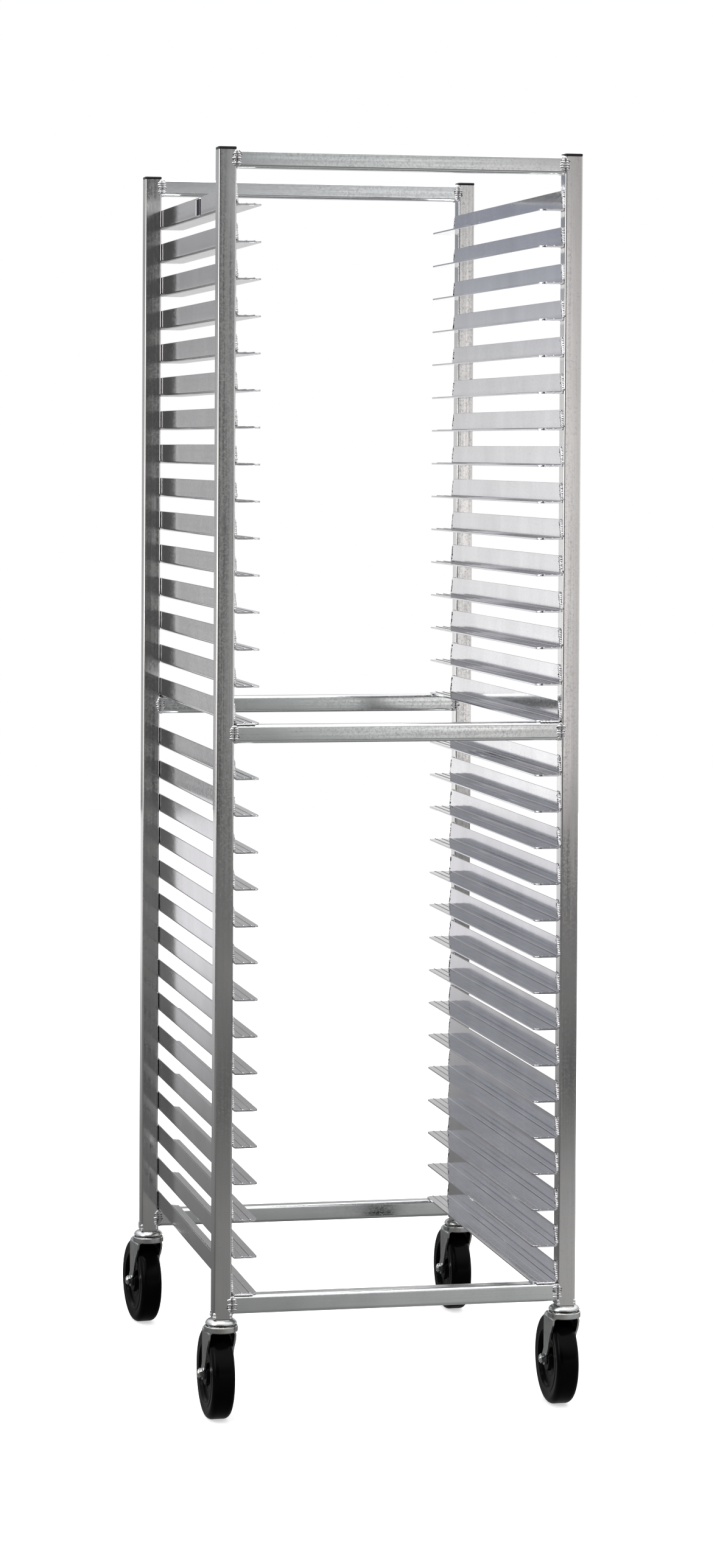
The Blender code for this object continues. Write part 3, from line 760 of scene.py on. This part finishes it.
def fork_mesh():
    """One pressed sheet: leg, bend, top plate, bend, leg. Its edges follow the legs' outline."""
    middle_x = FORK_HALF + FORK_PLATE / 2
    plate_z = -CROWN_DEPTH + 0.0012
    bend = 0.0058
    front = smooth_steps([(-0.0150, -0.0145), (-0.0126, -0.0190), (-0.0104, -0.0265), (-0.0052, -0.0350),
                          (0.0030, -0.0440), (0.0090, -0.0560), (0.0162, -0.0700), (0.0240, -0.0785)], 6)
    rear = smooth_steps([(0.0228, -0.0145), (0.0236, -0.0185), (0.0262, -0.0330), (0.0292, -0.0500),
                         (0.0336, -0.0650), (0.0402, -0.0755)], 6)
    boss_y, boss_z, boss = TRAIL, -DROP, 0.0092
    path = []
    lows = [boss_z - boss * math.cos(math.radians(8 + 82 * i / 9)) for i in range(10)]
    highs = [boss_z + (plate_z - bend - boss_z) * i / 26 for i in range(1, 27)]
    for z in lows + highs:
        path.append((middle_x, z))
    for i in range(1, 8):
        a = math.radians(90 * i / 7)
        path.append((middle_x - bend + bend * math.cos(a), plate_z - bend + bend * math.sin(a)))
    inner = middle_x - bend
    path += [(inner * (1 - i / 4), plate_z) for i in range(1, 5)]
    full = path + [(-x, z) for x, z in reversed(path[:-1])]
    across = 12
    bm = bmesh.new()
    rows = []
    for x, z in full:
        if z < boss_z + boss * 0.6:
            reach = math.sqrt(max(0.0, boss ** 2 - (z - boss_z) ** 2))
            y0, y1 = boss_y - reach, boss_y + reach
        else:
            y0, y1 = edge_at(front, z), edge_at(rear, z)
            reach = math.sqrt(max(0.0, boss ** 2 - (z - boss_z) ** 2)) if abs(z - boss_z) < boss else 0
            y0, y1 = min(y0, boss_y - reach), max(y1, boss_y + reach)
        if abs(x) < middle_x:
            arc_edge = -math.sqrt(max(0.0, (CROWN - 0.0006) ** 2 - x * x))
            share = min(1.0, (middle_x - abs(x)) / bend)
            y0 = y0 * (1 - share) + min(arc_edge, y0) * share
        rows.append([bm.verts.new((x, y0 + (y1 - y0) * i / across, z)) for i in range(across + 1)])
    for a, b in zip(rows, rows[1:]):
        for i in range(across):
            bm.faces.new((a[i], a[i + 1], b[i + 1], b[i]))
    return finish_mesh(bm, math.radians(60))


def wheel_mesh():
    """Moulded wheel: flat tread, rounded shoulders, stepped rim, dished web with a fine ring, raised hub."""
    half = WHEEL_HALF
    side = [(0.0076, half - 0.0003), (0.0082, half), (0.0150, half)]
    side += fillet((0.0152, half - 0.0012), 0.0012, 80, 0, 4)
    side += [(0.0176, half - 0.0045), (0.0190, half - 0.0052), (0.0240, half - 0.0054),
             (0.0246, half - 0.0050), (0.0252, half - 0.0054), (0.0352, half - 0.0050),
             (0.0390, half - 0.0042), (0.0404, half - 0.0014)]
    side += fillet((0.0424, half - 0.0014), 0.0014, 180, 95, 4)
    side += [(0.0470, half), (0.0476, half - 0.0006), (0.0484, half - 0.0004)]
    side += fillet((WHEEL - SHOULDER, half - SHOULDER), SHOULDER, 92, 4, 8)
    side += [(WHEEL, half - SHOULDER - 0.0010), (WHEEL, 0.0)]
    profile = side + [(r, -z) for r, z in reversed(side[:-1])]
    return lathe(profile, 144, closed=True, sharp=math.radians(30))


def turned_to_axle(mesh):
    return moved(mesh, Matrix.Translation((0, TRAIL, -DROP)) @ Matrix.Rotation(math.pi / 2, 4, "Y"))


def bolt_mesh():
    """Chamfered hex head on the right, thread through the nut on the left."""
    face = FORK_HALF + FORK_PLATE + GAP
    end = -(face + 0.0064)
    shank = 0.0040
    profile = [(0.0006, end), (shank * 0.82, end), (shank, end + 0.0008), (shank, face), (0.0006, face)]
    parts = [lathe(profile, 48)]
    for i in range(4):
        at = end + 0.0009 + i * 0.00045
        thread = [(shank - 0.0002, at - 0.0002), (shank + 0.00012, at), (shank - 0.0002, at + 0.0002),
                  (shank - 0.0006, at)]
        parts.append(lathe(thread, 48, closed=True))
    corner = HEX / 2 / math.cos(math.pi / 6)
    rings = [circle(HEX * 0.46, face, 72), circle(HEX * 0.47, face + 0.0004, 72),
             hex_ring(HEX, corner, face + 0.0005), hex_ring(HEX, corner, face + 0.0043),
             hex_ring(HEX, corner - 0.0004, face + 0.0049),
             hex_ring(HEX, HEX * 0.47, face + 0.0053), circle(HEX * 0.36, face + 0.0053, 72),
             circle(HEX * 0.33, face + 0.0050, 72)]
    parts.append(loft(rings))
    return joined(parts)


def nut_mesh():
    """Chamfered lock nut with its collar."""
    face = -(FORK_HALF + FORK_PLATE + GAP)
    corner = HEX / 2 / math.cos(math.pi / 6)
    bore = 0.0043
    rings = [circle(bore, face, 72), circle(HEX * 0.47, face, 72),
             hex_ring(HEX, corner - 0.0003, face - 0.0004),
             hex_ring(HEX, corner, face - 0.0008), hex_ring(HEX, corner, face - 0.0034),
             hex_ring(HEX, corner - 0.0005, face - 0.0039), circle(HEX * 0.455, face - 0.0043, 72),
             circle(HEX * 0.44, face - 0.0050, 72), circle(HEX * 0.40, face - 0.0056, 72),
             circle(0.0047, face - 0.0056, 72), circle(bore, face - 0.0052, 72)]
    return loft(rings, closed=True)


def sleeve_mesh():
    half = FORK_HALF - GAP
    profile = [(0.0044, -half), (0.0068, -half), (0.0072, -half + 0.0004), (0.0072, half - 0.0004),
               (0.0068, half), (0.0044, half)]
    return lathe(profile, 48, closed=True)


def thicken(obj):
    solid = obj.modifiers.new("sheet", "SOLIDIFY")
    solid.thickness = FORK_PLATE
    solid.offset = 0.0
    edge = obj.modifiers.new("edge", "BEVEL")
    edge.width = 0.0005
    edge.segments = 2
    edge.angle_limit = math.radians(50)
    obj.modifiers.move(0, 2)


def build_casters():
    axes = {j["name"]: Vector(j["axis"]) for j in frame["joints"]}
    shapes = {
        "dome": (dome_mesh(), ZINC, "zinc_plate", "stem"),
        "balls": (balls_mesh(), STEEL, "bearing_steel", "ball_ring"),
        "crown": (crown_mesh(), ZINC, "zinc_plate", "fork"),
        "pressed_fork": (fork_mesh(), ZINC, "zinc_plate", "fork"),
        "axle_bolt_fine": (turned_to_axle(bolt_mesh()), ZINC, "zinc_plate", "axle_bolt"),
        "lock_nut": (turned_to_axle(nut_mesh()), ZINC, "zinc_plate", "axle_nut"),
        "sleeve": (turned_to_axle(sleeve_mesh()), STEEL, "bearing_steel", "bushing"),
        "moulded_wheel": (turned_to_axle(wheel_mesh()), TREAD, "wheel_plastic", "wheel"),
    }
    for (end, side), (centre, low, high) in POST.items():
        corner = f"{end}_{side}"
        axis = axes[f"{corner}_roll"]
        turn = Matrix.Rotation(math.atan2(axis.y, axis.x), 4, "Z")
        place = Matrix.Translation((centre.x, centre.y, FOOT)) @ turn
        for shape, (mesh, material, slot, node) in shapes.items():
            body = f"swivel_{corner}"
            if shape in ("dome", "balls"):
                body = "frame"
            elif shape == "moulded_wheel":
                body = f"roller_{corner}"
            obj = piece(f"caster_{corner}_{shape}", moved(mesh, place), [material], body,
                        [f"caster_{corner}_{node}"])
            if shape == "pressed_fork":
                thicken(obj)


# ---- room ----
FLOOR_RADIUS = 9.0
FLOOR_SHINE = 0.55           # added to what the camera sees of the floor

# What the floor sends into reflections, by distance from the middle of a painted pool of light; its lowest
# values, round 2.1 m, fall under and behind the rack as painted shadow.
POOL_CENTRE = (1.3, -1.2, 0.0)
FLOOR_REACH = 10.0
FAR_FLOOR = (2.0, 5.0)       # behind the rack, where the floor grows bright
FAR_GLOW = (0.86, 0.85, 0.87)
FLOOR_GLOW = [(0.0, 0.50), (0.8, 0.50), (1.1, 0.38), (1.25, 0.35), (1.35, 0.28), (2.1, 0.14), (3.6, 0.26),
              (6.6, 0.18), (10.0, 0.25)]


def build_floor():
    n = Nodes("pale_floor", Roughness=0.75)
    n.shader.inputs["Specular IOR Level"].default_value = 0.1
    cloud = n.noise((1.3, 1.3, 1.3), 3.0)
    n.set("Base Color", n.mix(n.span(cloud, 0.0, 1.0), (0.80, 0.80, 0.80), (0.84, 0.84, 0.84)))
    bm = bmesh.new()
    bmesh.ops.create_circle(bm, cap_ends=True, segments=96, radius=FLOOR_RADIUS)
    floor = bpy.data.objects.new("floor", finish_mesh(bm))
    bpy.context.scene.collection.objects.link(floor)
    tree = n.tree
    glow = tree.nodes.new("ShaderNodeEmission")
    glow.inputs["Color"].default_value = (1.0, 1.0, 1.0, 1.0)
    glow.inputs["Strength"].default_value = FLOOR_SHINE
    added = tree.nodes.new("ShaderNodeAddShader")
    chosen = tree.nodes.new("ShaderNodeMixShader")
    path = tree.nodes.new("ShaderNodeLightPath")
    out = tree.nodes["Material Output"]
    tree.links.new(n.shader.outputs["BSDF"], added.inputs[0])
    tree.links.new(glow.outputs["Emission"], added.inputs[1])
    tree.links.new(path.outputs["Is Camera Ray"], chosen.inputs["Fac"])
    reach = tree.nodes.new("ShaderNodeVectorMath")
    reach.operation = "DISTANCE"
    reach.inputs[1].default_value = POOL_CENTRE
    tree.links.new(n.place, reach.inputs[0])
    distance = n.math("DIVIDE", reach.outputs["Value"], FLOOR_REACH)
    # Painted light and shadow: the floor's glow in reflections, by distance from the pool's middle.
    pool = n.ramp(distance, [(r / FLOOR_REACH, v) for r, v in FLOOR_GLOW])
    split = tree.nodes.new("ShaderNodeSeparateXYZ")
    tree.links.new(n.place, split.inputs["Vector"])
    pool = n.mix(n.span(split.outputs["Y"], 0.0, 1.0, *FAR_FLOOR), pool, FAR_GLOW)
    spread = tree.nodes.new("ShaderNodeEmission")
    tree.links.new(pool, spread.inputs["Color"])
    tree.links.new(spread.outputs["Emission"], chosen.inputs[1])
    tree.links.new(added.outputs["Shader"], chosen.inputs[2])
    tree.links.new(chosen.outputs["Shader"], out.inputs["Surface"])
    floor.data.materials.append(n.material)


# Brightness of the studio round the rack, by compass angle from the camera side (-Y) towards +X, in degrees.
STUDIO = [(-180, 0.58), (-172, 0.40), (-169.5, 0.36), (-166.8, 0.88), (-165, 1.00), (-160, 0.95),
          (-140, 1.00), (-105, 1.25), (-75, 1.25), (-45, 0.30), (-25, 0.10), (7, 0.14), (9.1, 0.18),
          (10.2, 0.03), (10.9, 0.08),
          (11.7, (0.95, 0.98, 0.98)), (12.6, (0.92, 0.96, 0.95)), (13.7, (1.66, 1.58, 1.58)),
          (15.1, (0.62, 0.59, 0.58)), (16.5, 0.70), (40, 0.90), (100, 1.10), (160, 1.25), (166.3, 1.25),
          (168.5, 0.70), (180, 0.58)]
# The same, for what is reflected from higher up: dark in front up to 10.8 degrees, bright from 11.4.
STUDIO_HIGH = [(-180, 0.58), (-170, 0.60), (-166, 0.92), (-140, 1.00), (-75, 1.25), (-45, 0.30), (-10, 0.12),
               (9.1, 0.22), (10.3, 0.05), (10.8, 0.40), (11.4, (1.36, 1.39, 1.42)),
               (12.6, (0.95, 0.98, 0.98)), (13.7, 1.10), (15.1, (0.50, 0.47, 0.47)),
               (40, 0.90), (160, 1.25), (166.3, 1.25), (168.5, 0.70), (180, 0.58)]
# How much of the higher set is used, by height above the horizon, in degrees.
HIGH_SHARE = [(-90, 0.0), (2.9, 0.0), (3.6, 1.0), (90, 1.0)]
# Multipliers by height above the horizon, in degrees: all round, and behind on the left.
STUDIO_RISE = [(-90, 0.40), (-12, 0.50), (-5.2, 0.46), (-4.3, 1.04), (-1, 1.05), (1.5, 1.0), (4, 0.86),
               (9, 0.54), (14, 0.48), (20, 0.95), (28, 1.2), (90, 1.2)]
LEFT_RISE = [(-90, 0.40), (-12, 0.50), (-5.2, 1.25), (-3, 1.20), (-1, 1.0), (1.2, 0.86),
             (2.4, (0.46, 0.48, 0.53)), (3.4, (0.32, 0.34, 0.40)), (9, (0.40, 0.42, 0.46)), (20, 0.80),
             (90, 1.0)]
# Where the second multiplier is used, by compass angle.
LEFT_SHARE = [(-180, 0.0), (-169.4, 0.0), (-167.6, 1.0), (-100, 1.0), (-60, 0.0), (180, 0.0)]
STUDIO_OVERHEAD = 1.60
OVERHEAD_FROM, OVERHEAD_FULL = 0.38, 0.70   # upward part of the direction where it takes over


def build_studio():
    world = bpy.data.worlds.new("studio")
    world.use_nodes = True
    n = Tree(world.node_tree)
    nodes, links = n.tree.nodes, n.tree.links
    split = nodes.new("ShaderNodeSeparateXYZ")
    links.new(nodes.new("ShaderNodeTexCoord").outputs["Generated"], split.inputs["Vector"])
    angle = n.math("ARCTAN2", split.outputs["X"], n.math("MULTIPLY", split.outputs["Y"], -1.0))
    around = n.span(angle, 0.0, 1.0, -math.pi, math.pi)
    upward = n.span(split.outputs["Z"], 0.0, 1.0, -1.0, 1.0)
    overhead = n.span(split.outputs["Z"], 0.0, 1.0, OVERHEAD_FROM, OVERHEAD_FULL)

    def by_angle(stops):
        return n.ramp(around, [((degrees + 180) / 360, value) for degrees, value in stops])

    def by_height(stops):
        return n.ramp(upward, [((math.sin(math.radians(degrees)) + 1) / 2, value)
                               for degrees, value in stops])

    walls = n.mix(by_height(HIGH_SHARE), by_angle(STUDIO), by_angle(STUDIO_HIGH))
    rise = n.mix(by_angle(LEFT_SHARE), by_height(STUDIO_RISE), by_height(LEFT_RISE))
    sides = n.mix(1.0, walls, rise, "MULTIPLY")
    above = (STUDIO_OVERHEAD, STUDIO_OVERHEAD, STUDIO_OVERHEAD * 1.02)
    room = nodes["Background"]
    links.new(n.mix(overhead, sides, above), room.inputs["Color"])
    paper = nodes.new("ShaderNodeBackground")
    paper.inputs["Color"].default_value = (1.0, 1.0, 1.0, 1.0)
    path = nodes.new("ShaderNodeLightPath")
    chosen = nodes.new("ShaderNodeMixShader")
    links.new(path.outputs["Is Camera Ray"], chosen.inputs["Fac"])
    links.new(room.outputs["Background"], chosen.inputs[1])
    links.new(paper.outputs["Background"], chosen.inputs[2])
    links.new(chosen.outputs["Shader"], nodes["World Output"].inputs["Surface"])
    bpy.context.scene.world = world


def add_light(name, location, target, size, watts, colour=(1.0, 1.0, 1.0)):
    data = bpy.data.lights.new(name, "AREA")
    data.shape = "RECTANGLE"
    data.size, data.size_y = size
    data.energy = watts
    data.color = colour
    light = bpy.data.objects.new(name, data)
    light.location = location
    light.rotation_euler = (Vector(target) - Vector(location)).to_track_quat("-Z", "Y").to_euler()
    bpy.context.scene.collection.objects.link(light)


def build_lights():
    add_light("overhead_box", (-0.3, -0.4, 3.4), (0, 0, 0.9), (1.8, 1.6), 34)
    add_light("left_box", (-3.0, -1.6, 1.9), (0, 0, 0.9), (1.4, 2.2), 26, (1.0, 0.99, 0.97))


# ---- camera ----
CAMERA_PLACE = Vector((-1.2132, -5.7505, 1.3452))
CAMERA_YAW, CAMERA_PITCH, CAMERA_ROLL = (math.radians(d) for d in (12.067, -1.738, 0.312))
CAMERA_SENSOR = 36.0
CAMERA_LENS = 91.80
CAMERA_SHIFT_Y = -0.1359


def build_camera():
    data = bpy.data.cameras.new("camera")
    data.sensor_width = CAMERA_SENSOR
    data.lens = CAMERA_LENS
    data.shift_y = CAMERA_SHIFT_Y
    data.clip_end = 100.0
    forward = Vector((math.sin(CAMERA_YAW) * math.cos(CAMERA_PITCH),
                      math.cos(CAMERA_YAW) * math.cos(CAMERA_PITCH),
                      math.sin(CAMERA_PITCH)))
    right = Vector((math.cos(CAMERA_YAW), -math.sin(CAMERA_YAW), 0))
    up = right.cross(forward)
    turned_right = right * math.cos(CAMERA_ROLL) + up * math.sin(CAMERA_ROLL)
    turned_up = up * math.cos(CAMERA_ROLL) - right * math.sin(CAMERA_ROLL)
    camera = bpy.data.objects.new("camera", data)
    camera.matrix_world = Matrix.Translation(CAMERA_PLACE) @ Matrix(
        (turned_right, turned_up, -forward)).transposed().to_4x4()
    bpy.context.scene.collection.objects.link(camera)
    bpy.context.scene.camera = camera


def finish_cad_nodes():
    """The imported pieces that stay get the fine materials."""
    for end, side in POST:
        node = frame["nodes"][f"stem_socket_{end}_{side}"]
        node.data.materials.clear()
        node.data.materials.append(SOCKET)


build_frame()
build_caps()
build_runners()
build_runner_welds()
build_rail_welds()
build_foot_welds()
build_plate()
build_casters()
finish_cad_nodes()
build_floor()
build_studio()
build_lights()
build_camera()
bpy.context.scene.view_settings.view_transform = "Standard"
